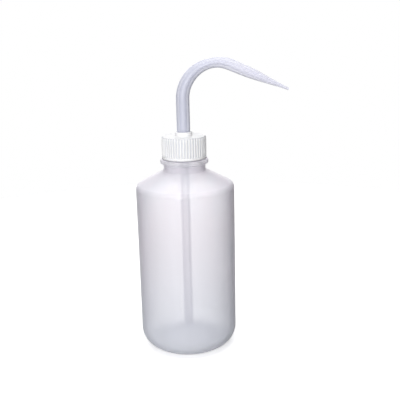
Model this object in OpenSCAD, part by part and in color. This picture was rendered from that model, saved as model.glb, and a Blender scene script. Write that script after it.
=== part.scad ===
// Squeeze wash bottle: a soft blow-moulded bottle, a ribbed screw cap, a bent
// jet spout with its plug, a captive sealing ring and a straight dip tube.
// Millimetres, +Z up. The origin is the centre of the base, on the bottle's
// axis, at the level of the surface that it stands on. The spout points to +X.

/* [Bottle] */
// Outside diameter of the body
body_d = 75; // [60:0.5:95]
// Height of the top of the straight wall
wall_top = 126.5; // [90:0.5:180]
// Thickness of the body's wall
body_wall = 1.2; // [0.8:0.1:2]
// Radius of the rounded heel
heel_r = 14; // [6:0.5:18]
// Width of the flat foot that the base rests on
foot_w = 1.5; // [1:0.1:3]
// Depth of the hollow under the base
push_up = 3; // [1:0.5:6]
// Radius of the edge between wall and shoulder
shoulder_r = 4.6; // [2.4:0.2:8]
// Slope of the shoulder above the horizontal, in degrees
shoulder_slope = 27.8; // [15:0.2:40]

/* [Neck] */
// Outside diameter of the neck between its threads
neck_d = 26.6; // [22:0.1:32]
// Thickness of the neck's wall
neck_wall = 1.5; // [1:0.1:2]
// Height of the neck above its ring
neck_h = 13; // [11:0.1:18]
// How far the collar stands out beyond the neck
collar_out = 2.5; // [2:0.1:5]
// Height of the collar above the top of the shoulder's slope
collar_h = 5; // [3:0.1:8]
// Radius of the hollow curve between shoulder and collar
collar_fillet = 2; // [0.5:0.1:3]
// How far the neck ring stands out beyond the neck
ring_out = 4.8; // [4:0.1:8]
// Height of the neck ring
ring_h = 3.4; // [2.4:0.1:5]
// Radius of the neck ring's rounded rim
ring_edge = 1; // [0.3:0.1:1.1]

/* [Thread] */
// Distance between turns
pitch = 4.2; // [3.4:0.1:5]
// How far a thread stands out
thread_h = 1.2; // [0.8:0.1:1.6]
// Width of a thread at its root
thread_root = 2.1; // [1.6:0.1:2.4]
// Width of a thread at its crest
thread_crest = 0.9; // [0.5:0.1:1.2]
// Turns of thread on the neck
neck_turns = 1.5; // [1:0.25:1.5]
// Turns of thread in the cap
cap_turns = 1.25; // [0.75:0.25:1.25]
// Height of the start of the neck's thread above the ring
thread_lift = 3.8; // [3:0.1:5]

/* [Cap] */
// Gap between the neck ring and the cap's rim
cap_gap = 0.8; // [0.4:0.1:2]
// Thickness of the cap's wall between its ribs
cap_wall = 1.4; // [1:0.1:2.5]
// Thickness of the cap's roof
roof_t = 1.6; // [1:0.1:3]
// How far the ribs stand out
rib_h = 0.55; // [0.3:0.05:1]
// Number of ribs
ribs = 48; // [24:1:72]
// Share of each rib's pitch that the rib's foot fills
rib_share = 0.62; // [0.3:0.01:0.8]
// Height of the plain band at the cap's rim
band_h = 1.4; // [0.8:0.1:3]
// How far that band stands out beyond the ribs
band_out = 0.15; // [0.1:0.05:0.6]
// Radius of the cap's rounded top edge
cap_edge = 1.2; // [0.4:0.1:2]
// Thickness of the hub's wall around the stem
hub_wall = 1.5; // [0.8:0.1:3]
// Height of the hub above the roof
hub_h = 3; // [1:0.1:8]

/* [Spout] */
// Outside diameter of the stem
stem_d = 9.8; // [8:0.1:12]
// Height of the stem from the hub to the start of the bend
stem_rise = 24; // [14:0.5:50]
// Radius of the bend, along the middle of the tube
bend_r = 26; // [18:0.5:40]
// Angle that the bend turns through
bend_angle = 113.5; // [90:0.5:140]
// How much the tube flattens near the top of its bend, on each side
bend_flat = 0.7; // [0:0.1:1]
// Length of the straight run after the bend
jet_l = 45.5; // [30:0.5:70]
// Outside diameter at the start of that run
jet_root_d = 8.3; // [6.6:0.1:9.8]
// Outside diameter at the tip
tip_d = 2; // [1.6:0.1:3]
// Diameter of the hole in the tip
jet_d = 1; // [0.6:0.1:1.2]
// Diameter of the passage in the stem
passage_d = 5.4; // [4:0.1:5.6]
// Thickness of the flange under the cap
flange_t = 1.5; // [1:0.1:2.5]
// Thickness of the plug's skirt
skirt_t = 1.2; // [0.8:0.1:1.6]
// Height of the bead at the skirt's lower end
bead_h = 1.2; // [0.8:0.1:2]
// How far that bead stands out beyond the skirt
bead_out = 0.5; // [0.4:0.05:0.8]
// Depth of the socket for the dip tube, below the flange
socket_l = 12; // [8:0.5:20]
// Thickness of the wall around that socket
socket_wall = 1.3; // [0.8:0.1:2]

/* [Sealing ring] */
// Thickness of the ring
seal_t = 1.2; // [0.8:0.1:2.5]
// Gap between the ring's hole and the skirt
seal_gap = 0.25; // [0.15:0.05:0.3]

/* [Dip tube] */
// Outside diameter of the dip tube
dip_d = 7; // [5.8:0.1:8.4]
// Thickness of its wall
dip_wall = 1; // [0.6:0.1:1.4]
// Height of its lower end above the hollow of the base
dip_clear = 10; // [4:0.5:30]

/* [Fits] */
// Gap between a thread's crest and the wall that faces it
thread_gap = 0.3; // [0.2:0.05:0.5]
// Gap around the stem in the cap's hub
hub_fit = 0.08; // [0.02:0.01:0.1]
// Gap around the plug's bead in the neck
plug_fit = 0.08; // [0.02:0.01:0.1]
// Gap around the dip tube in its socket
socket_fit = 0.05; // [0.02:0.01:0.1]

/* [Hidden] */
$fn = 96;

// Bottle
body_r = body_d / 2;
neck_r = neck_d / 2;
mouth_r = neck_r - neck_wall;
collar_r = neck_r + collar_out;
ring_r = neck_r + ring_out;
rest_r = body_r - heel_r;
foot_r = rest_r - foot_w;
dome_r = (foot_r * foot_r + push_up * push_up) / (2 * push_up);
dome_half = asin(foot_r / dome_r);
arc_turn = 90 - shoulder_slope;
slope_r = body_r - shoulder_r + shoulder_r * cos(arc_turn);
slope_z = wall_top + shoulder_r * sin(arc_turn);
slope_top = slope_z + (slope_r - collar_r) * tan(shoulder_slope);
fillet_z = slope_top + collar_fillet * (1 / cos(shoulder_slope) - tan(shoulder_slope));
ring_z0 = slope_top + collar_h;
ring_z1 = ring_z0 + ring_h;
lip_z = ring_z1 + neck_h;

// Stack on the lip: sealing ring, flange, roof
flange_z0 = lip_z + seal_t;
flange_z1 = flange_z0 + flange_t;
cap_z0 = ring_z1 + cap_gap;
cap_z1 = flange_z1 + roof_t;
hub_z1 = cap_z1 + hub_h;

// Threads. The cap's ridge runs half a pitch under the neck's, and starts
// a little way round from it, so that it is free of it after neck_turns.
thread_r = neck_r + thread_h;
cap_bore_r = thread_r + thread_gap;
cap_r = cap_bore_r + cap_wall;
rib_r = cap_r + rib_h;
neck_thread_z = ring_z1 + thread_lift;
cap_lead = 1 / 9;
thread_fade = 24;
facet_turn = 7.5;
least_fade = 0.02;
sink = 0.4;

// Closure
cap_travel = neck_turns * pitch;
stem_r = stem_d / 2;
hub_r = stem_r + hub_wall;
hub_edge = 0.6;
flange_r = cap_bore_r - 2 * thread_gap;
bead_r = mouth_r - plug_fit;
skirt_r = bead_r - bead_out;
bead_clear = 0.1;
bead_z1 = lip_z - cap_travel - bead_clear;
bead_z0 = bead_z1 - bead_h;
dip_r = dip_d / 2;
dip_z0 = push_up + dip_clear;
socket_r = dip_r + socket_fit;
socket_z0 = flange_z0 - socket_l;
passage_r = passage_d / 2;

// Bent part of the spout
bend_z = hub_z1 + stem_rise;
bend_l = bend_r * bend_angle * PI / 180;
bend_steps = 24;
jet_steps = 16;
sides = 24;
taper_late = 2.4;
taper_fine = 1.8;
stem_wall = stem_r - passage_r;
tip_wall = (tip_d - jet_d) / 2;
past = 1;
// Step where the bent part leaves the turned stem, and around the ribs' top edge
seam = 0.03;

// Points of an arc about c from angle a0 to a1, in n steps
function arc(c, r, a0, a1, n) =
    [for (i = [0:n]) let (a = a0 + (a1 - a0) * i / n) c + r * [cos(a), sin(a)]];

// Faces of a closed sweep of rings of m points, the first ring at its start
function sweep_faces(rings, m) = concat(
    [[for (j = [0:m - 1]) j]],
    [for (i = [0:rings - 2], j = [0:m - 1])
        [i * m + j, (i + 1) * m + j, (i + 1) * m + (j + 1) % m, i * m + (j + 1) % m]],
    [[for (j = [m - 1:-1:0]) (rings - 1) * m + j]]);

// One ridge of thread, wound up from z0 by the turns, with its root sunk into
// the wall at root_r. Both ends fade into that wall.
module ridge(root_r, crest_r, z0, turns, start) {
    out = crest_r > root_r ? 1 : -1;
    swept = turns * 360;
    steps = ceil(swept / facet_turn);
    points = [for (i = [0:steps])
        let (turned = swept * i / steps,
             fade = min(1, turned / thread_fade, (swept - turned) / thread_fade),
             a = start * 360 + turned,
             z = z0 + pitch * turned / 360,
             r0 = root_r - out * sink,
             r1 = root_r + (crest_r - root_r) * max(fade, least_fade),
             h0 = thread_root / 2,
             h1 = thread_crest / 2)
        each [for (p = [[r0, -h0], [r0, h0], [r1, h1], [r1, -h1]])
            [p[0] * cos(a), p[0] * sin(a), z + p[1]]]];
    faces = sweep_faces(steps + 1, 4);
    polyhedron(points, out > 0 ? faces : [for (f = faces) [for (k = [len(f) - 1:-1:0]) f[k]]]);
}

// Outside of the bottle, from the hollow under the base up to the lip
bottle_outside = concat(
    arc([0, push_up - dome_r], dome_r, 90, 90 - dome_half, 8),
    arc([rest_r, heel_r], heel_r, -90, 0, 18),
    arc([body_r - shoulder_r, wall_top], shoulder_r, 0, arc_turn, 10),
    arc([collar_r + collar_fillet, fillet_z], collar_fillet, 270 - shoulder_slope, 180, 6),
    [[collar_r, ring_z0]],
    arc([ring_r - ring_edge, ring_z0 + ring_edge], ring_edge, -90, 0, 6),
    arc([ring_r - ring_edge, ring_z1 - ring_edge], ring_edge, 0, 90, 6),
    [[neck_r, ring_z1], [neck_r, lip_z]]);

// Inside of the bottle, from the lip down to the middle of its floor
bottle_inside = concat(
    [[mouth_r, lip_z], [mouth_r, ring_z1 - neck_wall]],
    [[collar_r - body_wall, ring_z1 - neck_wall - (collar_r - body_wall - mouth_r)]],
    arc([collar_r + collar_fillet, fillet_z], collar_fillet + body_wall, 180, 270 - shoulder_slope, 6),
    arc([body_r - shoulder_r, wall_top], shoulder_r - body_wall, arc_turn, 0, 10),
    arc([rest_r, heel_r], heel_r - body_wall, 0, -90, 18),
    arc([0, push_up - dome_r], dome_r + body_wall, 90 - dome_half, 90, 8));

module bottle() {
    color([0.86, 0.88, 0.95, 0.6]) {
        rotate_extrude() polygon(concat(bottle_outside, bottle_inside));
        ridge(neck_r, thread_r, neck_thread_z, neck_turns, 0);
    }
}

// Outline of the cap's wall with its ribs, seen from above
function rib_outline() = let (step = 360 / ribs, foot = step * rib_share / 2, top = foot / 2)
    [for (i = [0:ribs - 1]) each
        [for (p = [[cap_r, -foot], [rib_r, -top], [rib_r, top], [cap_r, foot]])
            p[0] * [cos(i * step + p[1]), sin(i * step + p[1])]]];

// Everything inside the cap's rounded top edge
module cap_envelope() {
    rotate_extrude() polygon(concat(
        [[0, cap_z0 - past], [rib_r + past, cap_z0 - past], [rib_r + past, cap_z1 - cap_edge]],
        arc([rib_r - cap_edge, cap_z1 - cap_edge], cap_edge + seam, 0, 90, 6),
        [[0, cap_z1 + seam]]));
}

module screw_cap() {
    color([0.97, 0.97, 0.98]) {
        difference() {
            union() {
                intersection() {
                    cap_envelope();
                    union() {
                        translate([0, 0, cap_z0]) linear_extrude(cap_z1 - cap_z0) polygon(rib_outline());
                        translate([0, 0, cap_z0]) cylinder(r = rib_r + band_out, h = band_h);
                    }
                }
                rotate_extrude() polygon(concat(
                    [[0, flange_z1 + roof_t / 2], [hub_r, flange_z1 + roof_t / 2]],
                    arc([hub_r - hub_edge, hub_z1 - hub_edge], hub_edge, 0, 90, 5),
                    [[0, hub_z1]]));
            }
            translate([0, 0, cap_z0 - past]) cylinder(r = cap_bore_r, h = flange_z1 - cap_z0 + past);
            translate([0, 0, cap_z0]) cylinder(r = stem_r + hub_fit, h = hub_z1 - cap_z0 + past);
        }
        ridge(cap_bore_r, cap_bore_r - thread_h, neck_thread_z + pitch * (cap_lead - 1 / 2),
              cap_turns, cap_lead);
    }
}

// How far along the bend (0 to 1) and the jet (0 to 1) each ring lies
spout_rings = concat(
    [[-past / bend_l, 0]],
    [for (i = [0:bend_steps]) [i / bend_steps, 0]],
    [for (i = [1:jet_steps]) [1, i / jet_steps]]);

// Middle of the tube, in the bend's plane, as [x, z]
function spine(u, t) = let (a = max(u, 0) * bend_angle, c = [bend_r, bend_z])
    c + bend_r * [-cos(a), sin(a)] + jet_l * t * [sin(a), cos(a)] + [0, min(u, 0) * bend_l];

// Radius of a round tube there, and how much the bend has flattened it
function round_r(u, t) = t > 0
    ? tip_d / 2 + (jet_root_d - tip_d) / 2 * pow(1 - pow(t, taper_late), taper_fine)
    : stem_r - seam + (jet_root_d / 2 - stem_r + seam) * max(u, 0);
function flat(u) = bend_flat * pow(sin(180 * min(1, max(u, 0) * max(u, 0))), 2);

// A tube along the spine. thin is 0 for the outside and 1 for the passage.
module spout_sweep(thin, beyond) {
    points = [for (ring = spout_rings)
        let (u = ring[0], t = ring[1], a = max(u, 0) * bend_angle,
             wall = thin * (stem_wall + (tip_wall - stem_wall) * t),
             across = round_r(u, t) - flat(u) - wall,
             deep = round_r(u, t) + flat(u) / 2 - wall,
             end = (t == 1 ? beyond : 0) * [sin(a), cos(a)],
             c = spine(u, t) + end)
        each [for (j = [0:sides - 1]) let (b = 360 * j / sides, q = across * cos(b))
            [c[0] - q * cos(a), -deep * sin(b), c[1] + q * sin(a)]]];
    polyhedron(points, sweep_faces(len(spout_rings), sides));
}

module spout() {
    color([0.86, 0.88, 0.95, 0.7]) difference() {
        union() {
            translate([0, 0, flange_z0]) cylinder(r = flange_r, h = flange_t);
            translate([0, 0, flange_z0]) cylinder(r = stem_r, h = bend_z - flange_z0);
            translate([0, 0, socket_z0]) cylinder(r = socket_r + socket_wall, h = socket_l + flange_t / 2);
            rotate_extrude() polygon([
                [skirt_r - skirt_t, bead_z0], [bead_r - bead_h / 4, bead_z0], [bead_r, bead_z0 + bead_h / 4],
                [bead_r, bead_z1], [skirt_r, bead_z1], [skirt_r, flange_z0 + flange_t / 2],
                [skirt_r - skirt_t, flange_z0 + flange_t / 2]]);
            spout_sweep(0, 0);
        }
        translate([0, 0, socket_z0 - past]) cylinder(r = socket_r, h = flange_z1 - socket_z0 + past);
        translate([0, 0, socket_z0]) cylinder(r = passage_r, h = bend_z - socket_z0);
        spout_sweep(1, past);
    }
}

module sealing_ring() {
    color([0.82, 0.84, 0.86]) translate([0, 0, lip_z]) difference() {
        cylinder(r = neck_r, h = seal_t);
        translate([0, 0, -past]) cylinder(r = skirt_r + seal_gap, h = seal_t + 2 * past);
    }
}

module dip_tube() {
    color([0.84, 0.86, 0.93, 0.7]) translate([0, 0, dip_z0]) difference() {
        cylinder(r = dip_r, h = flange_z1 - dip_z0);
        translate([0, 0, -past]) cylinder(r = dip_r - dip_wall, h = flange_z1 - dip_z0 + 2 * past);
    }
}

bottle();
screw_cap();
spout();
sealing_ring();
dip_tube();
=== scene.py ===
"""Looks of a squeeze wash bottle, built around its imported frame.

Every piece is a surface worked out with numpy and dressed with a procedural material. Lengths are in
metres, +Z is up, and the origin is the centre of the bottle's base.
"""

import logging
import math
from dataclasses import dataclass, field
from enum import Enum
from typing import Callable, Optional

import bpy
import numpy as np
from mathutils import Matrix, Vector


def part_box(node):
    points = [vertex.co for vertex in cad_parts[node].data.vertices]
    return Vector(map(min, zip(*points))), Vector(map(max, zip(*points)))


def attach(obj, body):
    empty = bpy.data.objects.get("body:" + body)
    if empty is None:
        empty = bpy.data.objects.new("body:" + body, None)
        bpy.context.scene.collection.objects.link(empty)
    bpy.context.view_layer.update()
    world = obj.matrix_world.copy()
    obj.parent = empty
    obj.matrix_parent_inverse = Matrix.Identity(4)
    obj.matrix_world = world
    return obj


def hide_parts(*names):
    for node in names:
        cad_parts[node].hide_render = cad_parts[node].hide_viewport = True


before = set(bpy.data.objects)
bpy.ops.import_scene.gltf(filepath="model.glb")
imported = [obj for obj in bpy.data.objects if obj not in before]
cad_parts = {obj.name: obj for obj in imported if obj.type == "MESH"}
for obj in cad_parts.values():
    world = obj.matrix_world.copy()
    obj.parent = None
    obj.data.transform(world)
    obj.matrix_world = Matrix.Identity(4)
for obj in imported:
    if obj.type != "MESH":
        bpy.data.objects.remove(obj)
log = logging.getLogger("wash_bottle")

MM = 0.001
TURN = 2 * math.pi
SHARP_DEG = 40.0  # Edges bent by more than this stay sharp.
SAME = 0.05 * MM  # A row closer than this to a radius or height counts as at it.
WHITE = (1, 1, 1, 1)
Relief = Callable[[np.ndarray, np.ndarray, np.ndarray], tuple[np.ndarray, np.ndarray]]


# ---------------------------------------------------------------- outlines

def arc(centre: tuple[float, float], radius: float, start: float, end: float, steps: int) -> np.ndarray:
    """Points of an arc: the centre plus the radius times the cosine and sine of an even run of angles.

    Args:
        centre: Middle of the arc, as (radius from the axis, height).
        radius: Radius of the arc.
        start: First angle in degrees.
        end: Last angle in degrees.
        steps: Number of steps between the two.

    Returns:
        An array of steps + 1 points.
    """
    angle = np.radians(np.linspace(start, end, steps + 1))
    return np.stack([centre[0] + radius * np.cos(angle), centre[1] + radius * np.sin(angle)], axis=1)


def outline(*runs: object, longest: float) -> np.ndarray:
    """Join runs of points into one outline and split its long edges evenly.

    Each edge is cut into the fewest equal parts that are no longer than asked, so the corners stay.

    Args:
        runs: Arrays or lists of points, in order.
        longest: Longest edge that may remain.

    Returns:
        An array of points, with no point repeated.
    """
    points = np.concatenate([np.atleast_2d(np.asarray(run, float)) for run in runs])
    step = np.linalg.norm(np.diff(points, axis=0), axis=1)
    points = points[np.concatenate([[True], step > 1e-7])]
    step = np.linalg.norm(np.diff(points, axis=0), axis=1)
    parts = np.maximum(np.ceil(step / longest).astype(int), 1)
    edge = np.repeat(np.arange(len(parts)), parts)
    along = (np.arange(parts.sum()) - np.repeat(np.cumsum(parts) - parts, parts)) / np.repeat(parts, parts)
    inner = points[edge] + (points[edge + 1] - points[edge]) * along[:, None]
    return np.vstack([inner, points[-1]])


def smooth_step(value: np.ndarray, low: float, high: float) -> np.ndarray:
    """The cubic 3t² - 2t³, where t runs from 0 at low to 1 at high and is held there."""
    share = np.clip((value - low) / (high - low), 0.0, 1.0)
    return share * share * (3 - 2 * share)


def cosine_ridge(off: np.ndarray, half: float) -> np.ndarray:
    """A ridge's height at a distance from its middle: (1 + cos(180° off / half)) / 2, and 0 past half."""
    return 0.5 + 0.5 * np.cos(math.pi * np.clip(off / half, 0, 1))


# ---------------------------------------------------------------- meshes

def grid_faces(rows: int, columns: int, closed: bool) -> np.ndarray:
    """Quads of a grid whose columns close on themselves.

    Args:
        rows: Number of rows of vertices.
        columns: Number of vertices in a row.
        closed: Whether the last row joins the first.

    Returns:
        An array of four vertex numbers for each quad, wound so that it faces outwards where the rows
        climb the outside of a turned shape.
    """
    row = np.arange(rows if closed else rows - 1)[:, None]
    column = np.arange(columns)[None, :]
    up, along = (row + 1) % rows, (column + 1) % columns
    corners = [row * columns + column, row * columns + along, up * columns + along, up * columns + column]
    return np.stack(corners, axis=-1).reshape(-1, 4)


def make_piece(name: str, points: np.ndarray, faces: list) -> bpy.types.Object:
    """Put points and faces into a smooth-shaded object at the origin.

    Args:
        name: Name of the object and its mesh.
        points: Vertex places, one row each.
        faces: Vertex numbers of each face.

    Returns:
        The new object, linked to the scene.
    """
    mesh = bpy.data.meshes.new(name)
    mesh.from_pydata(points.tolist(), [], faces)
    mesh.update()
    mesh.shade_smooth()
    mesh.set_sharp_from_angle(angle=math.radians(SHARP_DEG))
    piece = bpy.data.objects.new(name, mesh)
    bpy.context.scene.collection.objects.link(piece)
    return piece


def paint(piece: bpy.types.Object, name: str, values: np.ndarray) -> None:
    """Store one number per vertex as a named attribute that the materials can read."""
    layer = piece.data.attributes.new(name, "FLOAT", "POINT")
    layer.data.foreach_set("value", np.asarray(values, np.float32).ravel())


def turned(name: str, profile: np.ndarray, angles: np.ndarray,
           relief: Optional[Relief] = None) -> bpy.types.Object:
    """Turn a profile about the Z axis: x = r cos a, y = r sin a, z = h, with relief added to r and h.

    A profile that starts and ends on the axis closes with a fan of triangles at each pole. Any other
    profile closes on itself, as a ring does.

    Args:
        name: Name of the new piece.
        profile: Points (r, h), with the outside first and climbing.
        angles: The angle of each column, rising through one turn.
        relief: Gives what is added to r and to h, from r, h and the angle.

    Returns:
        The piece.
    """
    poled = bool(profile[0, 0] < 1e-6 and profile[-1, 0] < 1e-6)
    ring = profile[1:-1] if poled else profile
    radius, height, angle = ring[:, 0][:, None], ring[:, 1][:, None], angles[None, :]
    out, up = relief(radius, height, angle) if relief else (np.zeros(1), np.zeros(1))
    shape = (len(ring), len(angles))
    out, up = np.broadcast_to(out, shape), np.broadcast_to(up, shape)
    reach = radius + out
    points = np.stack([reach * np.cos(angle), reach * np.sin(angle), height + up], axis=-1).reshape(-1, 3)
    faces = grid_faces(len(ring), len(angles), closed=not poled).tolist()
    if poled:
        first, last = len(points), len(points) + 1
        column = np.arange(len(angles))
        along = (column + 1) % len(angles)
        top = (len(ring) - 1) * len(angles)
        faces += np.stack([np.full_like(column, first), along, column], axis=1).tolist()
        faces += np.stack([np.full_like(column, last), top + column, top + along], axis=1).tolist()
        poles = [[0, 0, profile[0, 1] + up[0, 0]], [0, 0, profile[-1, 1] + up[-1, 0]]]
        points = np.vstack([points, poles])
    return make_piece(name, points, faces)


@dataclass(frozen=True)
class Thread:
    """A right-hand screw ridge, with its crest width, root width and ends that fade into the wall."""

    pitch: float = 4.2 * MM
    height: float = 1.2 * MM
    root: float = 2.1 * MM
    crest: float = 0.9 * MM
    fade_turn: float = 24 / 360

    def stand_out(self, height: np.ndarray, angle: np.ndarray, start_z: float, turns: float,
                  lead: float) -> np.ndarray:
        """How far the ridge stands out at each height and angle.

        For each turn, the ridge's middle climbs from start_z by one pitch per turn. The section is full
        height within the crest's half width of that middle and falls to nothing at the root's.

        Args:
            height: Height of each point.
            angle: Angle of each point, in radians.
            start_z: Height of the ridge's middle where it starts.
            turns: Length of the ridge in turns.
            lead: Where it starts, as a share of a turn from +X.

        Returns:
            The distance from the wall, from 0 to the ridge's height.
        """
        total = np.zeros(np.broadcast(height, angle).shape)
        for turn in range(math.ceil(turns) + 1):
            wound = angle / TURN + turn - lead
            off = np.abs(height - start_z - self.pitch * wound)
            section = 1 - smooth_step(off, self.crest / 2, self.root / 2)
            ends = np.clip(np.minimum(wound, turns - wound) / self.fade_turn, 0, 1)
            total = np.maximum(total, section * ends)
        return total * self.height


# ---------------------------------------------------------------- node trees

class Sheet:
    """Adds and links nodes in one node tree."""

    def __init__(self, tree: bpy.types.NodeTree) -> None:
        """Keep the tree that nodes are added to."""
        self.tree = tree

    def add(self, kind: str, inputs: Optional[dict] = None, **settings: object) -> bpy.types.Node:
        """Add a node.

        Args:
            kind: Blender's type name for the node.
            inputs: Values or output sockets for its inputs, by name or number.
            settings: Properties of the node itself.

        Returns:
            The new node.
        """
        node = self.tree.nodes.new(kind)
        for name, value in settings.items():
            setattr(node, name, value)
        self.feed(node, inputs or {})
        return node

    def feed(self, node: bpy.types.Node, inputs: dict) -> None:
        """Link output sockets to a node's inputs, or set plain values on them, by name or number."""
        for name, value in inputs.items():
            if isinstance(value, bpy.types.NodeSocket):
                self.tree.links.new(value, node.inputs[name])
            else:
                node.inputs[name].default_value = value

    def math(self, operation: str, *values: object) -> bpy.types.NodeSocket:
        """A Math node of numbers and sockets, as its output socket."""
        node = self.add("ShaderNodeMath", dict(enumerate(values)), operation=operation)
        return node.outputs[0]

    def remap(self, value: bpy.types.NodeSocket, low: object, high: object, to_low: float,
              to_high: float) -> bpy.types.NodeSocket:
        """A clamped Map Range node, as its output socket."""
        node = self.add("ShaderNodeMapRange", {0: value, 1: low, 2: high, 3: to_low, 4: to_high})
        return node.outputs[0]

    def mix(self, share: object, first: object, second: object) -> bpy.types.NodeSocket:
        """A colour Mix node from the first colour to the second, as its output socket."""
        node = self.add("ShaderNodeMix", {0: share, 6: first, 7: second}, data_type="RGBA")
        return node.outputs[2]

    def noise(self, vector: bpy.types.NodeSocket, scale: object, detail: float = 2.0,
              roughness: float = 0.5) -> bpy.types.NodeSocket:
        """A Noise Texture's value, as its output socket."""
        node = self.add("ShaderNodeTexNoise",
                        {"Vector": vector, "Scale": scale, "Detail": detail, "Roughness": roughness})
        return node.outputs["Fac"]


def new_group(name: str, numbers: dict[str, float], results: list[str]) -> tuple[Sheet, dict, dict]:
    """Start a shader node group that takes numbers and a place and puts out numbers.

    Args:
        name: Name of the group.
        numbers: Default value of each numeric input.
        results: Names of the outputs.

    Returns:
        The group's sheet, its input sockets by name, and the sockets to link results to.
    """
    tree = bpy.data.node_groups.new(name, "ShaderNodeTree")
    tree.interface.new_socket("Place", in_out="INPUT", socket_type="NodeSocketVector")
    for label, value in numbers.items():
        socket = tree.interface.new_socket(label, in_out="INPUT", socket_type="NodeSocketFloat")
        socket.default_value = value
    for label in results:
        tree.interface.new_socket(label, in_out="OUTPUT", socket_type="NodeSocketFloat")
    sheet = Sheet(tree)
    entry = sheet.add("NodeGroupInput")
    leave = sheet.add("NodeGroupOutput")
    sources = {socket.name: socket for socket in entry.outputs if socket.name}
    ends = {socket.name: socket for socket in leave.inputs if socket.name}
    return sheet, sources, ends


def moulded_skin_group() -> bpy.types.NodeTree:
    """Surface of a moulded plastic: a soft waviness, a fine grain and a mask of where it is duller."""
    sheet, given, result = new_group(
        "moulded_skin", {"Wave": 60.0, "Grain": 1400.0, "Grain Share": 0.25}, ["Height", "Dull"])
    wave = sheet.noise(given["Place"], given["Wave"], 3.0, 0.45)
    grain = sheet.noise(given["Place"], given["Grain"], 2.0, 0.6)
    height = sheet.math("MULTIPLY_ADD", grain, given["Grain Share"], wave)
    sheet.tree.links.new(height, result["Height"])
    sheet.tree.links.new(sheet.remap(wave, 0.35, 0.7, 0.0, 1.0), result["Dull"])
    return sheet.tree


def handling_group() -> bpy.types.NodeTree:
    """Marks of handling: patches where fingers have dulled the surface, and fine short scratches."""
    sheet, given, result = new_group(
        "handling", {"Patch": 22.0, "Scratch": 260.0, "Amount": 0.5}, ["Smudge", "Scratch"])
    patch = sheet.noise(given["Place"], given["Patch"], 4.0, 0.6)
    smudge = sheet.math("MULTIPLY", sheet.remap(patch, 0.5, 0.72, 0.0, 1.0), given["Amount"])
    sheet.tree.links.new(smudge, result["Smudge"])
    slanted = sheet.add("ShaderNodeMapping", {"Vector": given["Place"], "Rotation": (0.5, 0.9, 0.3)})
    bands = sheet.add("ShaderNodeTexWave", {
        "Vector": slanted.outputs[0], "Scale": given["Scratch"], "Distortion": 1.2, "Detail": 1.0})
    thin = sheet.remap(bands.outputs["Fac"], 0.985, 1.0, 0.0, 1.0)
    broken = sheet.remap(sheet.noise(given["Place"], given["Scratch"], 2.0), 0.55, 0.65, 0.0, 1.0)
    scratch = sheet.math("MULTIPLY", sheet.math("MULTIPLY", thin, broken), given["Amount"])
    sheet.tree.links.new(scratch, result["Scratch"])
    return sheet.tree


def blown_wall_group() -> bpy.types.NodeTree:
    """Uneven thickness of a blown or drawn wall: long upright streaks crossed by a slow drift.

    The wall is also thicker low down, where more of the plastic gathers: fully from Low down, and no
    more than elsewhere from High up.
    """
    sheet, given, result = new_group(
        "blown_wall", {"Streak": 90.0, "Drift": 14.0, "Low": 0.02, "High": 0.13}, ["Thick"])
    tall = sheet.add("ShaderNodeMapping", {"Vector": given["Place"], "Scale": (1.0, 1.0, 0.12)})
    streak = sheet.noise(tall.outputs[0], given["Streak"], 2.0, 0.5)
    drift = sheet.noise(given["Place"], given["Drift"], 2.0, 0.5)
    both = sheet.math("ADD", sheet.math("MULTIPLY", streak, 0.4), sheet.math("MULTIPLY", drift, 0.6))
    height = sheet.add("ShaderNodeSeparateXYZ", {"Vector": given["Place"]}).outputs["Z"]
    gathered = sheet.remap(height, given["Low"], given["High"], 1.0, 0.0)
    thick = sheet.math("MAXIMUM", sheet.remap(both, 0.3, 0.7, 0.0, 1.0), gathered)
    sheet.tree.links.new(thick, result["Thick"])
    return sheet.tree


def drawn_wall_group() -> bpy.types.NodeTree:
    """How far a wall has been drawn thin: 0 up to one place along X, 1 from another one on."""
    sheet, given, result = new_group("drawn_wall", {"From": 0.0, "To": 1.0}, ["Drawn"])
    along = sheet.add("ShaderNodeSeparateXYZ", {"Vector": given["Place"]}).outputs["X"]
    drawn = sheet.add("ShaderNodeMapRange", {0: along, 1: given["From"], 2: given["To"]})
    sheet.tree.links.new(drawn.outputs[0], result["Drawn"])
    return sheet.tree


@dataclass
class Groups:
    """The node groups that the finishes share, each built once."""

    skin: bpy.types.NodeTree = field(default_factory=moulded_skin_group)
    handling: bpy.types.NodeTree = field(default_factory=handling_group)
    wall: bpy.types.NodeTree = field(default_factory=blown_wall_group)
    drawn: bpy.types.NodeTree = field(default_factory=drawn_wall_group)


def use_group(sheet: Sheet, tree: bpy.types.NodeTree, place: bpy.types.NodeSocket,
              **values: float) -> bpy.types.Node:
    """Place a node group in a material.

    Args:
        sheet: The material's sheet.
        tree: The group.
        place: The socket that gives the place on the piece.
        values: The group's numeric inputs, with _ for a space.

    Returns:
        The group node.
    """
    numbers = {label.replace("_", " "): value for label, value in values.items()}
    return sheet.add("ShaderNodeGroup", {"Place": place, **numbers}, node_tree=tree)


def new_material(name: str) -> tuple[bpy.types.Material, Sheet, bpy.types.Node]:
    """A material with only an output and a Principled shader, its sheet and that shader."""
    material = bpy.data.materials.new(name)
    material.use_nodes = True
    material.node_tree.nodes.clear()
    sheet = Sheet(material.node_tree)
    shader = sheet.add("ShaderNodeBsdfPrincipled")
    end = sheet.add("ShaderNodeOutputMaterial")
    sheet.tree.links.new(shader.outputs[0], end.inputs["Surface"])
    return material, sheet, shader


# ---------------------------------------------------------------- finishes

class Milkiness(Enum):
    """How strongly one face of each moulding's wall veils what is behind it, met head on."""

    BODY = 0.34
    SPOUT = 0.62
    TUBE = 0.16


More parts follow.
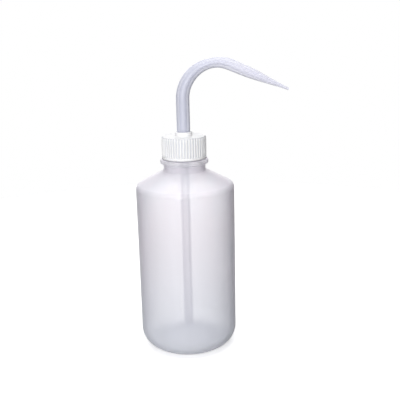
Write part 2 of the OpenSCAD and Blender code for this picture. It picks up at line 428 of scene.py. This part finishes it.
@dataclass(frozen=True)
class MilkyPlastic:
    """See-through low-density polyethylene, milky and slightly blue, with a waxy shine.

    Light that meets the wall at a slant has further to go through it, so a face lets through
    exp(-k / cosine) of what is behind it, with the cosine at least_cosine or more. A piece whose wall
    is drawn thin between two places along X gives them as drawn. By the second place its k has fallen
    to drawn_share of itself, and its colour is drawn_colour.
    """

    name: str
    milkiness: Milkiness
    thin: tuple[float, float, float] = (0.94, 0.87, 0.94)
    thick: tuple[float, float, float] = (0.87, 0.89, 0.965)
    clear_rough: float = 0.37
    dull_rough: float = 0.42
    transmission: float = 0.25
    wave: float = 60.0
    bump_mm: float = 0.03
    least_cosine: float = 0.05
    drawn: Optional[tuple[float, float]] = None
    drawn_share: float = 0.85
    drawn_colour: tuple[float, float, float] = (0.83, 0.83, 0.94)

    def build(self, groups: Groups) -> bpy.types.Material:
        """Make the material.

        Args:
            groups: The shared node groups.

        Returns:
            The new material.
        """
        material, sheet, shader = new_material(self.name)
        place = sheet.add("ShaderNodeTexCoord").outputs["Object"]
        wall = use_group(sheet, groups.wall, place)
        skin = use_group(sheet, groups.skin, place, Wave=self.wave, Grain_Share=0.05)
        marks = use_group(sheet, groups.handling, place, Amount=0.5)
        colour = sheet.mix(wall.outputs["Thick"], (*self.thin, 1), (*self.thick, 1))
        dull = sheet.math("MAXIMUM", skin.outputs["Dull"], marks.outputs["Smudge"])
        rough = sheet.remap(dull, 0.0, 1.0, self.clear_rough, self.dull_rough)
        rough = sheet.math("MULTIPLY_ADD", marks.outputs["Scratch"], 0.03, rough)
        bump = sheet.add("ShaderNodeBump", {
            "Height": skin.outputs["Height"], "Strength": 0.2, "Distance": self.bump_mm * MM})
        facing = sheet.add("ShaderNodeLayerWeight", {"Blend": 0.5}).outputs["Facing"]
        cosine = sheet.math("MAXIMUM", sheet.math("SUBTRACT", 1.0, facing), self.least_cosine)
        veil: object = self.milkiness.value
        if self.drawn:
            draw = use_group(sheet, groups.drawn, place, From=self.drawn[0], To=self.drawn[1])
            thinned = draw.outputs["Drawn"]
            colour = sheet.mix(thinned, colour, (*self.drawn_colour, 1))
            veil = sheet.remap(thinned, 0.0, 1.0, veil, veil * self.drawn_share)
        through = sheet.math("EXPONENT", sheet.math("MULTIPLY", sheet.math("DIVIDE", veil, cosine), -1.0))
        alpha = sheet.math("SUBTRACT", 1.0, through)
        sheet.feed(shader, {
            "Base Color": colour, "Roughness": rough, "Normal": bump.outputs[0], "Alpha": alpha,
            "IOR": 1.51, "Transmission Weight": self.transmission})
        return material


@dataclass(frozen=True)
class CapPlastic:
    """Opaque white polypropylene: brighter and shinier on worn crests, greyer in the grooves from dust and
    painted shade.
    """

    name: str = "cap_white_plastic"
    face: tuple[float, float, float] = (0.82, 0.82, 0.83)
    # Grey of the grooves: dust together with painted shade where the ribs close in.
    groove: tuple[float, float, float] = (0.66, 0.67, 0.7)
    crest: tuple[float, float, float] = (0.87, 0.87, 0.87)

    def build(self, groups: Groups) -> bpy.types.Material:
        """Make the material.

        Args:
            groups: The shared node groups.

        Returns:
            The new material.
        """
        material, sheet, shader = new_material(self.name)
        place = sheet.add("ShaderNodeTexCoord").outputs["Object"]
        relief = sheet.add("ShaderNodeAttribute", attribute_name="relief").outputs["Fac"]
        skin = use_group(sheet, groups.skin, place, Wave=150.0, Grain=2600.0)
        marks = use_group(sheet, groups.handling, place, Patch=60.0, Amount=0.6)
        # Dust and painted shade: the colour falls to the groove grey towards the bottom of each groove.
        groove_dust_and_shade = sheet.mix(sheet.remap(relief, 0.0, 0.5, 0.0, 1.0), (*self.groove, 1), (*self.face, 1))
        worn = sheet.mix(sheet.remap(relief, 0.7, 1.0, 0.0, 1.0), groove_dust_and_shade, (*self.crest, 1))
        rough = sheet.math("SUBTRACT", sheet.remap(skin.outputs["Dull"], 0.0, 1.0, 0.36, 0.48),
                           sheet.remap(relief, 0.8, 1.0, 0.0, 0.08))
        rough = sheet.math("ADD", rough, sheet.math("MULTIPLY", marks.outputs["Smudge"], 0.12))
        bump = sheet.add("ShaderNodeBump", {
            "Height": skin.outputs["Height"], "Strength": 0.25, "Distance": 0.04 * MM})
        sheet.feed(shader, {
            "Base Color": worn, "Roughness": rough, "Normal": bump.outputs[0], "IOR": 1.49,
            "Subsurface Weight": 0.25, "Subsurface Scale": 1.5 * MM, "Subsurface Radius": (1.0, 0.95, 0.9)})
        return material


@dataclass(frozen=True)
class SealRubber:
    """Soft pale silicone with a fine matt grain and a little lint."""

    name: str = "seal_silicone"
    body: tuple[float, float, float] = (0.72, 0.74, 0.76)
    lint: tuple[float, float, float] = (0.84, 0.84, 0.83)

    def build(self, groups: Groups) -> bpy.types.Material:
        """Make the material.

        Args:
            groups: The shared node groups.

        Returns:
            The new material.
        """
        material, sheet, shader = new_material(self.name)
        place = sheet.add("ShaderNodeTexCoord").outputs["Object"]
        skin = use_group(sheet, groups.skin, place, Wave=220.0, Grain=3000.0, Grain_Share=0.6)
        marks = use_group(sheet, groups.handling, place, Patch=90.0, Scratch=700.0, Amount=0.5)
        colour = sheet.mix(marks.outputs["Scratch"], (*self.body, 1), (*self.lint, 1))
        rough = sheet.remap(skin.outputs["Dull"], 0.0, 1.0, 0.55, 0.72)
        bump = sheet.add("ShaderNodeBump", {
            "Height": skin.outputs["Height"], "Strength": 0.4, "Distance": 0.05 * MM})
        sheet.feed(shader, {"Base Color": colour, "Roughness": rough, "Normal": bump.outputs[0]})
        return material


# ---------------------------------------------------------------- places

def corner(node: str, top: bool) -> np.ndarray:
    """The highest or the lowest corner of a node's box in the frame."""
    return np.array(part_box(node)[1 if top else 0], float)


def clustered(count: int, seam_deg: tuple[float, ...]) -> np.ndarray:
    """Angles of one turn: even, with extra columns beside the seams at 0 and 180 degrees.

    Args:
        count: Number of even columns in half a turn.
        seam_deg: Distances of the extra columns from each seam, rising from the seam outwards.

    Returns:
        The angles in radians, rising.
    """
    seam = np.array(seam_deg)
    inner = np.linspace(seam[-1], 180 - seam[-1], count)
    half = np.concatenate([[0.0], seam[:-1], inner, 180 - seam[:-1][::-1]])
    return np.radians(np.concatenate([half, half + 180]))


@dataclass
class Part:
    """A physical piece: the frame's node that it stands for, its body and its finish's slot."""

    node: str
    body: str
    slot: str
    label: str

    def build(self) -> bpy.types.Object:
        """Make the piece's mesh."""
        raise NotImplementedError

    def put(self, material: bpy.types.Material) -> None:
        """Build the piece, dress it, hide the frame's node that it stands for and hang it on its body.

        Args:
            material: The finish.
        """
        piece = self.build()
        piece.data.materials.append(material)
        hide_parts(self.node)
        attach(piece, self.body)
        log.info("%s: %d faces", piece.name, len(piece.data.polygons))


# ---------------------------------------------------------------- bottle

@dataclass
class Bottle(Part):
    """The blown bottle: hollow base, rounded heel, straight wall, shoulder, neck ring and thread."""

    node: str = "bottle"
    body: str = "bottle"
    slot: str = "bottle_wall"
    label: str = "milky_squeeze_bottle"
    wall: float = 1.2 * MM
    heel: float = 14 * MM
    foot: float = 1.5 * MM
    push_up: float = 3 * MM
    shoulder: float = 4.6 * MM
    slope_deg: float = 27.8
    neck: float = 13.3 * MM
    neck_wall: float = 1.5 * MM
    neck_height: float = 13 * MM
    collar: float = 15.8 * MM
    collar_height: float = 5 * MM
    fillet: float = 2 * MM
    ring: float = 18.1 * MM
    ring_height: float = 3.4 * MM
    ring_edge: float = 1 * MM
    lip_edge: float = 0.3 * MM
    thread_lift: float = 3.8 * MM
    thread_turns: float = 1.5
    thread: Thread = Thread()
    seam_height: float = 0.1 * MM
    seam_half: float = 0.3 * MM
    pinch_height: float = 0.25 * MM
    pinch_ends: tuple[float, float] = (15 * MM, 19 * MM)
    sway: float = 0.07 * MM
    sway_waves: tuple[float, float] = (17 * MM, 31 * MM)
    sway_fade: float = 6 * MM
    sway_top: float = 42 * MM
    pole_rows: tuple[float, float] = (1 / 60, 1 / 40)
    half_columns: int = 90
    seam_deg: tuple[float, float, float] = (0.22, 0.45, 1.1)

    def profile(self) -> np.ndarray:
        """Outline of half the wall: out along the base, up the outside, over the lip and down inside.

        The heights below the neck follow from the lip downwards, as the slope's rise is its run times
        the tangent of its angle.

        Returns:
            Points (radius, height) from pole to pole.
        """
        radius, lip = corner(self.node, True)[1], corner(self.node, True)[2]
        slope = math.radians(self.slope_deg)
        bend = 90 - self.slope_deg
        rest, foot = radius - self.heel, radius - self.heel - self.foot
        dome = (foot ** 2 + self.push_up ** 2) / (2 * self.push_up)
        half = math.degrees(math.asin(foot / dome))
        ring_top = lip - self.neck_height
        ring_low = ring_top - self.ring_height
        slope_top = ring_low - self.collar_height
        run = radius - self.shoulder + self.shoulder * math.sin(slope) - self.collar
        wall_top = slope_top - run * math.tan(slope) - self.shoulder * math.cos(slope)
        mouth, inner, edge = self.neck - self.neck_wall, self.collar - self.wall, self.lip_edge
        hollow = (self.collar + self.fillet,
                  slope_top + self.fillet * (1 / math.cos(slope) - math.tan(slope)))
        rim = self.ring - self.ring_edge
        step = ring_top - self.neck_wall
        neck = outline([[self.neck, ring_top]], arc((self.neck - edge, lip - edge), edge, 0, 90, 4),
                       longest=0.32 * MM)
        return outline(
            arc((0, self.push_up - dome), dome, 90, 90 - half * self.pole_rows[0], 1),
            arc((0, self.push_up - dome), dome, 90 - half * self.pole_rows[1], 90 - half, 12),
            arc((rest, self.heel), self.heel, -90, 0, 26),
            arc((radius - self.shoulder, wall_top), self.shoulder, 0, bend, 14),
            arc(hollow, self.fillet, 270 - self.slope_deg, 180, 8),
            [[self.collar, ring_low]],
            arc((rim, ring_low + self.ring_edge), self.ring_edge, -90, 0, 8),
            arc((rim, ring_top - self.ring_edge), self.ring_edge, 0, 90, 8),
            neck,
            arc((mouth + edge, lip - edge), edge, 90, 180, 4),
            [[mouth, step], [inner, step - (inner - mouth)]],
            arc(hollow, self.fillet + self.wall, 180, 270 - self.slope_deg, 8),
            arc((radius - self.shoulder, wall_top), self.shoulder - self.wall, bend, 0, 12),
            arc((rest, self.heel), self.heel - self.wall, 0, -90, 22),
            arc((0, self.push_up - dome), dome + self.wall, 90 - half, 90, 8),
            longest=3 * MM)

    def relief(self, radius: np.ndarray, height: np.ndarray,
               angle: np.ndarray) -> tuple[np.ndarray, np.ndarray]:
        """The thread, the mould's parting ridge, the pinched weld and a slight sway of the wall.

        The parting ridge falls off as a cosine over its half width on each side of 0 and 180 degrees.
        The weld is a ridge of twice that width on the underside of the base's hollow, and ends between
        the two radii of pinch_ends. The sway is sin(3a + 0.7) sin(h / first wave) plus 0.6 times
        sin(5a - h / second wave), moved and scaled so that it only draws the plain wall in. It fades
        above the heel and below the shoulder.

        Args:
            radius: Radius of each row.
            height: Height of each row.
            angle: Angle of each column.

        Returns:
            What is added to the radius and to the height.
        """
        body, lip = corner(self.node, True)[1:]
        ring_top = lip - self.neck_height
        on_neck = (np.abs(radius - self.neck) < SAME) & (height > ring_top)
        ridge = self.thread.stand_out(height, angle, ring_top + self.thread_lift, self.thread_turns, 0.0)
        side = np.abs(radius * np.sin(angle))
        crest = cosine_ridge(side, self.seam_half)
        outer = (radius > body - self.wall / 2) & (height > self.heel)
        above = smooth_step(height, self.heel, self.heel + self.sway_fade)
        below = 1 - smooth_step(height, lip - self.sway_top, lip - self.sway_top + self.sway_fade)
        plain = (radius > body - 2 * self.wall) * above * below
        first, second = self.sway_waves
        wave = np.sin(3 * angle + 0.7) * np.sin(height / first) + 0.6 * np.sin(5 * angle - height / second)
        out = on_neck * ridge + outer * crest * self.seam_height - self.sway * plain * (1 + wave / 1.6)
        rest = body - self.heel
        hollow = self.push_up * (1 - (radius / rest) ** 2)
        under = (radius < rest - self.foot) & (height <= self.push_up + SAME)
        facing = under & (height <= hollow + self.wall / 2)
        weld = 1 - smooth_step(radius, *self.pinch_ends)
        return out, facing * weld * cosine_ridge(side, 2 * self.seam_half) * -self.pinch_height

    def build(self) -> bpy.types.Object:
        """Turn the profile with its relief."""
        angles = clustered(self.half_columns, self.seam_deg)
        return turned(self.label, self.profile(), angles, self.relief)


# ---------------------------------------------------------------- closure

@dataclass
class ScrewCap(Part):
    """The ribbed cap: plain band, ribs, rounded top edge, roof, hub around the stem, and its thread."""

    node: str = "screw_cap"
    body: str = "cap"
    slot: str = "white_cap"
    label: str = "ribbed_screw_cap"
    bore: float = 14.8 * MM
    groove: float = 16.2 * MM
    rib: float = 0.55 * MM
    rib_count: int = 48
    rib_foot: float = 0.31
    rib_top: float = 0.15
    rib_clear: float = 0.8 * MM
    groove_depth: float = 0.2 * MM
    band: float = 16.9 * MM
    band_height: float = 1.4 * MM
    top_edge: float = 1.2 * MM
    roof: float = 1.6 * MM
    hub: float = 6.4 * MM
    hub_height: float = 3 * MM
    hub_edge: float = 0.6 * MM
    hole: float = 4.98 * MM
    soft: float = 0.3 * MM
    thread_start: float = 1.367 * MM
    thread_turns: float = 1.25
    lead: float = 1 / 9
    plain_relief: float = 0.6
    thread: Thread = Thread()

    def profile(self) -> np.ndarray:
        """Closed outline of the cap's wall at a groove, from the rim up, across the roof and back."""
        low, hub_top = corner(self.node, False)[2], corner(self.node, True)[2]
        top = hub_top - self.hub_height
        under = top - self.roof
        soft, centre = self.soft, self.groove + self.rib - self.top_edge
        start = math.degrees(math.acos((self.groove - centre) / self.top_edge))
        bore = outline([[self.bore, under]], [[self.bore, low + soft]], longest=0.36 * MM)
        return outline(
            [[self.bore + soft, low]],
            arc((self.band - soft, low + soft), soft, -90, 0, 4),
            arc((self.band - soft / 2, low + self.band_height - soft / 2), soft / 2, 0, 90, 3),
            outline([[self.groove, low + self.band_height]],
                    arc((centre, top - self.top_edge), self.top_edge, start, 90, 8), longest=1.1 * MM),
            arc((self.hub + soft, top + soft), soft, 270, 180, 5),
            arc((self.hub - self.hub_edge, hub_top - self.hub_edge), self.hub_edge, 0, 90, 7),
            arc((self.hole + soft / 2, hub_top - soft / 2), soft / 2, 90, 180, 3),
            [[self.hole, under]], bore, longest=2 * MM)

    def relief(self, radius: np.ndarray, height: np.ndarray,
               angle: np.ndarray) -> tuple[np.ndarray, np.ndarray]:
        """The ribs outside and the thread inside.

        A rib stands full height within its top's share of a pitch and falls to nothing at its foot's.
        Near the roof it's held under the rounded edge, which is an arc.

        Args:
            radius: Radius of each row.
            height: Height of each row.
            angle: Angle of each column.

        Returns:
            What is added to the radius and to the height.
        """
        low = corner(self.node, False)[2]
        top = corner(self.node, True)[2] - self.hub_height
        off = np.abs((angle / TURN * self.rib_count + 0.5) % 1 - 0.5)
        section = 1 - smooth_step(off, self.rib_top, self.rib_foot)
        above = np.clip(height - (top - self.top_edge), 0, self.top_edge)
        centre = self.groove + self.rib - self.top_edge
        room = np.sqrt(self.top_edge ** 2 - above ** 2) + centre - radius
        outer = (radius > self.bore + self.rib_clear) & (height > low + self.band_height + SAME)
        ribs = outer * np.clip(room, 0, self.rib) * section
        inner = (np.abs(radius - self.bore) < SAME) & (height < top - self.roof)
        ridge = self.thread.stand_out(height, angle, low + self.thread_start, self.thread_turns, self.lead)
        return ribs - inner * ridge, np.zeros(1)

    def columns(self) -> np.ndarray:
        """Angles of the columns: ten to a rib, set where its section turns."""
        foot, top = self.rib_foot, self.rib_top
        third = (foot - top) / 3
        side = np.array([top, top + third, top + 2 * third, foot])
        across = np.concatenate([[0.0], side, [0.5], 1 - side[::-1]])
        return (np.arange(self.rib_count)[:, None] + across[None, :]).ravel() / self.rib_count * TURN

    def build(self) -> bpy.types.Object:
        """Turn the profile with its relief, and mark the ribs' crests and grooves.

        The mark is 0 at a groove and 1 at a crest. It is plain_relief away from the ribs, which are
        taken to reach groove_depth inside the groove's radius.

        Returns:
            The cap.
        """
        piece = turned(self.label, self.profile(), self.columns(), self.relief)
        places = np.empty(len(piece.data.vertices) * 3)
        piece.data.vertices.foreach_get("co", places)
        places = places.reshape(-1, 3)
        radius, height = np.hypot(places[:, 0], places[:, 1]), places[:, 2]
        low, top = corner(self.node, False)[2], corner(self.node, True)[2] - self.hub_height
        deep = self.groove - self.groove_depth
        ribbed = (radius > deep) & (height > low + self.band_height) & (height < top)
        crest = np.clip((radius - self.groove) / self.rib, 0, 1)
        # The cap's finish reads this mark to grey the grooves with dust and painted shade.
        paint(piece, "relief", np.where(ribbed, crest, self.plain_relief))
        return piece


@dataclass
class Sleeve(Part):
    """A plain turned sleeve with softened edges, such as a ring or a tube, sized by its node's box."""

    hole: float = 0.0
    edge: float = 0.15 * MM
    longest: float = 3 * MM
    count: int = 48

    def profile(self) -> np.ndarray:
        """Closed outline: a rectangle from the hole to the outside, with each corner an arc."""
        low, high = corner(self.node, False)[2], corner(self.node, True)[2]
        outside, edge = corner(self.node, True)[1], self.edge
        return outline(
            arc((outside - edge, low + edge), edge, -90, 0, 4),
            arc((outside - edge, high - edge), edge, 0, 90, 4),
            arc((self.hole + edge, high - edge), edge, 90, 180, 4),
            arc((self.hole + edge, low + edge), edge, 180, 270, 4), longest=self.longest)

    def build(self) -> bpy.types.Object:
        """Turn the profile."""
        return turned(self.label, self.profile(), np.arange(self.count) / self.count * TURN)


# ---------------------------------------------------------------- spout

@dataclass
class Spout(Part):
    """The bent jet spout with its flange, its plug skirt and the socket that holds the dip tube."""

    node: str = "spout"
    body: str = "spout"
    slot: str = "spout_wall"
    label: str = "bent_jet_spout"
    stem: float = 4.9 * MM
    passage: float = 2.7 * MM
    bend_radius: float = 26 * MM
    bend_deg: float = 113.5
    bend_flat: float = 0.7 * MM
    jet_length: float = 45.5 * MM
    jet_root: float = 4.15 * MM
    tip: float = 1 * MM
    jet_bore: float = 0.5 * MM
    bend_height: float = 24 * MM
    flange: float = 14.2 * MM
    flange_height: float = 1.5 * MM
    skirt: float = 11.22 * MM
    skirt_wall: float = 1.2 * MM
    bead: float = 11.72 * MM
    bead_height: float = 1.2 * MM
    bead_low: float = 3.2 * MM
    socket: float = 3.55 * MM
    socket_wall: float = 1.3 * MM
    soft: float = 0.2 * MM
    seam_height: float = 0.06 * MM
    seam_low: float = 22 * MM
    seam_reach: float = 0.7 * MM
    seam_deg: tuple[float, float] = (2.2, 4.6)
    half_columns: int = 27
    bend_rows: int = 56
    jet_rows: int = 44
    taper: tuple[float, float] = (2.4, 1.8)

    def start(self) -> float:
        """Height at which the bend starts, above the cap's hub."""
        return corner("screw_cap", True)[2] + self.bend_height

    def along(self, count: int, past_bend: bool) -> np.ndarray:
        """Shares of the bend or the jet at which rows lie: even, or 1 - (1 - t)^1.5, closer at the tip."""
        share = np.linspace(0, 1, count + 1)
        return 1 - (1 - share) ** 1.5 if past_bend else share

    def wall_radius(self, bend: np.ndarray, jet: np.ndarray, inside: bool) -> np.ndarray:
        """Radius of the round tube along the bend and the jet.

        Along the bend it shrinks evenly from the stem's to the jet's. Along the jet it is the tip's
        plus the rest times (1 - t^p)^q, p and q being the taper. The wall thins evenly along the jet.

        Args:
            bend: Share of the bend, from 0 to 1.
            jet: Share of the jet, from 0 to 1.
            inside: Whether to take the wall off, which gives the passage.

        Returns:
            The radii.
        """
        on_bend = self.stem + (self.jet_root - self.stem) * bend
        inner, outer = self.taper
        on_jet = self.tip + (self.jet_root - self.tip) * (1 - jet ** inner) ** outer
        radius = np.where(jet > 0, on_jet, on_bend)
        thick = self.stem - self.passage
        return radius - inside * (thick + (self.tip - self.jet_bore - thick) * jet)

    def tube_run(self, inside: bool) -> np.ndarray:
        """Points (radius, distance along the middle line) of the bent tube, from the stem to the tip."""
        bend, jet = self.along(self.bend_rows, False), self.along(self.jet_rows, True)[1:]
        length = self.bend_radius * math.radians(self.bend_deg)
        share_bend = np.concatenate([bend, np.ones_like(jet)])
        share_jet = np.concatenate([np.zeros_like(bend), jet])
        distance = self.start() + length * share_bend + self.jet_length * share_jet
        return np.stack([self.wall_radius(share_bend, share_jet, inside), distance], axis=1)

    def profile(self) -> np.ndarray:
        """Closed outline of the whole moulding in radius and distance along its middle line."""
        low, soft = corner(self.node, False)[2], self.soft
        under = corner("sealing_ring", True)[2]
        top = under + self.flange_height
        bead = low + self.bead_low
        socket_out = self.socket + self.socket_wall
        inner = self.skirt - self.skirt_wall
        lead_in = self.bead_height / 4
        return outline(
            [[self.socket + soft, low]],
            arc((socket_out - soft, low + soft), soft, -90, 0, 3),
            arc((socket_out + soft, under - soft), soft, 180, 90, 3),
            arc((inner - soft, under - soft), soft, 90, 0, 3),
            [[inner, bead], [self.bead - lead_in, bead]],
            arc((self.bead - lead_in, bead + lead_in), lead_in, -90, 0, 4),
            arc((self.bead - soft, bead + self.bead_height - soft), soft, 0, 90, 3),
            [[self.skirt, bead + self.bead_height], [self.skirt, under]],
            arc((self.flange - soft, under + soft), soft, -90, 0, 3),
            arc((self.flange - soft, top - soft), soft, 0, 90, 3),
            arc((self.stem + soft, top + soft), soft, 270, 180, 3),
            self.tube_run(False), self.tube_run(True)[::-1],
            [[self.passage, top], [self.socket, top], [self.socket, low + soft]], longest=2.2 * MM)

    def build(self) -> bpy.types.Object:
        """Carry the outline along the middle line.

        A point at distance s, radius r and angle b lies at c(s) + n(s) r' cos b + y r'' sin b. The
        middle line c is straight, then an arc, then straight. n lies in its plane, square to it. The
        bend is flattened by f = flat sin²(180° u²), so r' = r - f and r'' = r + f / 2. A faint parting
        ridge runs along the outside at 0 and 180 degrees, from seam_low under the bend to where the jet
        gets thinner than the middle of the stem's wall less seam_reach.

        Returns:
            The spout.
        """
        profile = self.profile()
        angle = clustered(self.half_columns, self.seam_deg)[None, :]
        radius, distance = profile[:, 0][:, None], profile[:, 1][:, None]
        length = self.bend_radius * math.radians(self.bend_deg)
        share = np.clip((distance - self.start()) / length, 0, 1)
        past = np.clip(distance - self.start() - length, 0, None)
        turn = share * math.radians(self.bend_deg)
        flat = self.bend_flat * np.sin(math.pi * share ** 2) ** 2
        outside = radius > (self.passage + self.stem) / 2 - share * self.seam_reach
        ridge = np.clip(1 - np.abs(np.sin(angle)) / math.sin(math.radians(self.seam_deg[1])), 0, 1)
        raised = outside * (distance > self.start() - self.seam_low) * self.seam_height * ridge
        in_plane = (radius + raised - flat) * np.cos(angle)
        across = (radius + raised + flat / 2) * np.sin(angle)
        middle_x = self.bend_radius * (1 - np.cos(turn)) + past * np.sin(turn)
        middle_z = np.minimum(distance, self.start())
        middle_z = middle_z + self.bend_radius * np.sin(turn) + past * np.cos(turn)
        points = np.stack([middle_x + in_plane * np.cos(turn), across,
                           middle_z - in_plane * np.sin(turn)], axis=-1).reshape(-1, 3)
        faces = grid_faces(len(profile), angle.size, closed=True).tolist()
        return make_piece(self.label, points, faces)


# ---------------------------------------------------------------- studio

@dataclass
class Studio:
    """A pale floor, soft white surroundings, three large lights and the camera.

    The camera sees the floor and the surroundings as white, with the floor glowing by glow. Every other
    ray meets a floor that returns bounce and surroundings as bright as surround, so the milky walls
    keep darker edges.
    """

    floor_radius: float = 0.55
    floor_sides: int = 96
    eye: tuple[float, float, float] = (11.07 * MM, -473.8 * MM, 241.95 * MM)
    pitch_deg: float = 14.855
    roll_deg: float = -1.342
    lens_mm: float = 57.45
    surround: float = 0.07
    bounce: float = 0.25
    glow: float = 0.32
    lights: tuple = (
        ("overhead_softbox", (0.0, 0.1, 1.25), (0.0, 0.0, 0.05), 1.5, 13.5),
        ("front_softbox", (-0.18, -1.1, 0.45), (0.0, 0.0, 0.12), 1.0, 15.5),
        ("back_panel", (-0.05, 0.9, 0.3), (0.0, 0.0, 0.12), 0.8, 3.2))

    def lay_floor(self) -> None:
        """Make the floor: a fan of triangles about its middle, with a faint paper grain."""
        count = self.floor_sides
        angles = np.linspace(0, TURN, count, endpoint=False)
        rim = np.stack([np.cos(angles), np.sin(angles), np.zeros(count)], axis=1) * self.floor_radius
        column = np.arange(count)
        faces = np.stack([column, (column + 1) % count, np.full(count, count)], axis=1).tolist()
        piece = make_piece("pale_floor", np.vstack([rim, [[0, 0, 0]]]), faces)
        material, sheet, shader = new_material("pale_paper")
        place = sheet.add("ShaderNodeTexCoord").outputs["Object"]
        grain = sheet.noise(place, 900.0, 3.0)
        colour = sheet.mix(grain, (0.95, 0.95, 0.95, 1), (0.98, 0.98, 0.98, 1))
        seen = sheet.add("ShaderNodeLightPath").outputs["Is Camera Ray"]
        kept = sheet.mix(seen, (self.bounce, self.bounce, self.bounce, 1), colour)
        sheet.feed(shader, {
            "Base Color": kept, "Roughness": 0.8, "Emission Color": WHITE,
            "Emission Strength": sheet.math("MULTIPLY", seen, self.glow)})
        piece.data.materials.append(material)

    def hang_light(self, name: str, place: tuple, aim: tuple, size: float, power: float) -> None:
        """Add a square area light that faces a point.

        Args:
            name: Name of the light.
            place: Where it hangs.
            aim: The point that it faces.
            size: Length of its side.
            power: Power in watts.
        """
        lamp = bpy.data.lights.new(name, "AREA")
        lamp.size = size
        lamp.energy = power
        holder = bpy.data.objects.new(name, lamp)
        holder.location = place
        holder.rotation_euler = (Vector(aim) - Vector(place)).to_track_quat("-Z", "Y").to_euler()
        bpy.context.scene.collection.objects.link(holder)

    def light_world(self) -> None:
        """Surroundings that are white to the camera and an even grey to everything else."""
        world = bpy.data.worlds.new("white_room")
        bpy.context.scene.world = world
        world.use_nodes = True
        world.node_tree.nodes.clear()
        sheet = Sheet(world.node_tree)
        seen = sheet.add("ShaderNodeBackground", {"Color": WHITE, "Strength": 1.0})
        fill = sheet.add("ShaderNodeBackground", {"Color": WHITE, "Strength": self.surround})
        rays = sheet.add("ShaderNodeLightPath")
        both = sheet.add("ShaderNodeMixShader", {
            0: rays.outputs["Is Camera Ray"], 1: fill.outputs[0], 2: seen.outputs[0]})
        end = sheet.add("ShaderNodeOutputWorld")
        sheet.tree.links.new(both.outputs[0], end.inputs["Surface"])

    def set_camera(self) -> None:
        """Put the camera at its place, pitched down and rolled a little."""
        camera = bpy.data.cameras.new("camera")
        camera.lens = self.lens_mm
        camera.sensor_width = 36
        camera.clip_start = 0.01
        camera.clip_end = 20
        holder = bpy.data.objects.new("camera", camera)
        tilt = Matrix.Rotation(math.radians(90 - self.pitch_deg), 4, "X")
        roll = Matrix.Rotation(math.radians(self.roll_deg), 4, "Z")
        holder.matrix_world = Matrix.Translation(self.eye) @ tilt @ roll
        bpy.context.scene.collection.objects.link(holder)
        bpy.context.scene.camera = holder

    def build(self) -> None:
        """Lay the floor, hang the lights, light the surroundings and set the camera."""
        self.lay_floor()
        for light in self.lights:
            self.hang_light(*light)
        self.light_world()
        self.set_camera()
        bpy.context.scene.view_settings.view_transform = "Standard"
        log.info("studio: %d lights", len(self.lights))


# ---------------------------------------------------------------- the whole scene


def main() -> None:
    """Build every piece in order from the bench up, then the studio."""
    logging.basicConfig(level=logging.INFO, format="%(message)s")
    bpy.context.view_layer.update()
    groups = Groups()
    blown = MilkyPlastic("milky_blown_wall", Milkiness.BODY)
    drawn = MilkyPlastic("milky_drawn_tube", Milkiness.TUBE, thin=(0.8, 0.79, 0.88),
                         thick=(0.74, 0.74, 0.86), transmission=0.04, wave=120.0)
    moulded = MilkyPlastic("milky_moulded_spout", Milkiness.SPOUT, thin=(0.72, 0.73, 0.84),
                           thick=(0.66, 0.68, 0.81), clear_rough=0.3, dull_rough=0.36,
                           transmission=0.04, wave=140.0, bump_mm=0.01, drawn=(8 * MM, 45 * MM))
    Bottle().put(blown.build(groups))
    Sleeve("sealing_ring", "seal", "seal_rubber", "silicone_sealing_ring", hole=11.47 * MM,
           edge=0.3 * MM, longest=0.6 * MM, count=96).put(SealRubber().build(groups))
    Sleeve("dip_tube", "riser", "tube_wall", "straight_dip_tube", hole=2.5 * MM).put(drawn.build(groups))
    Spout().put(moulded.build(groups))
    ScrewCap().put(CapPlastic().build(groups))
    Studio().build()


if __name__ == "__main__":
    main()
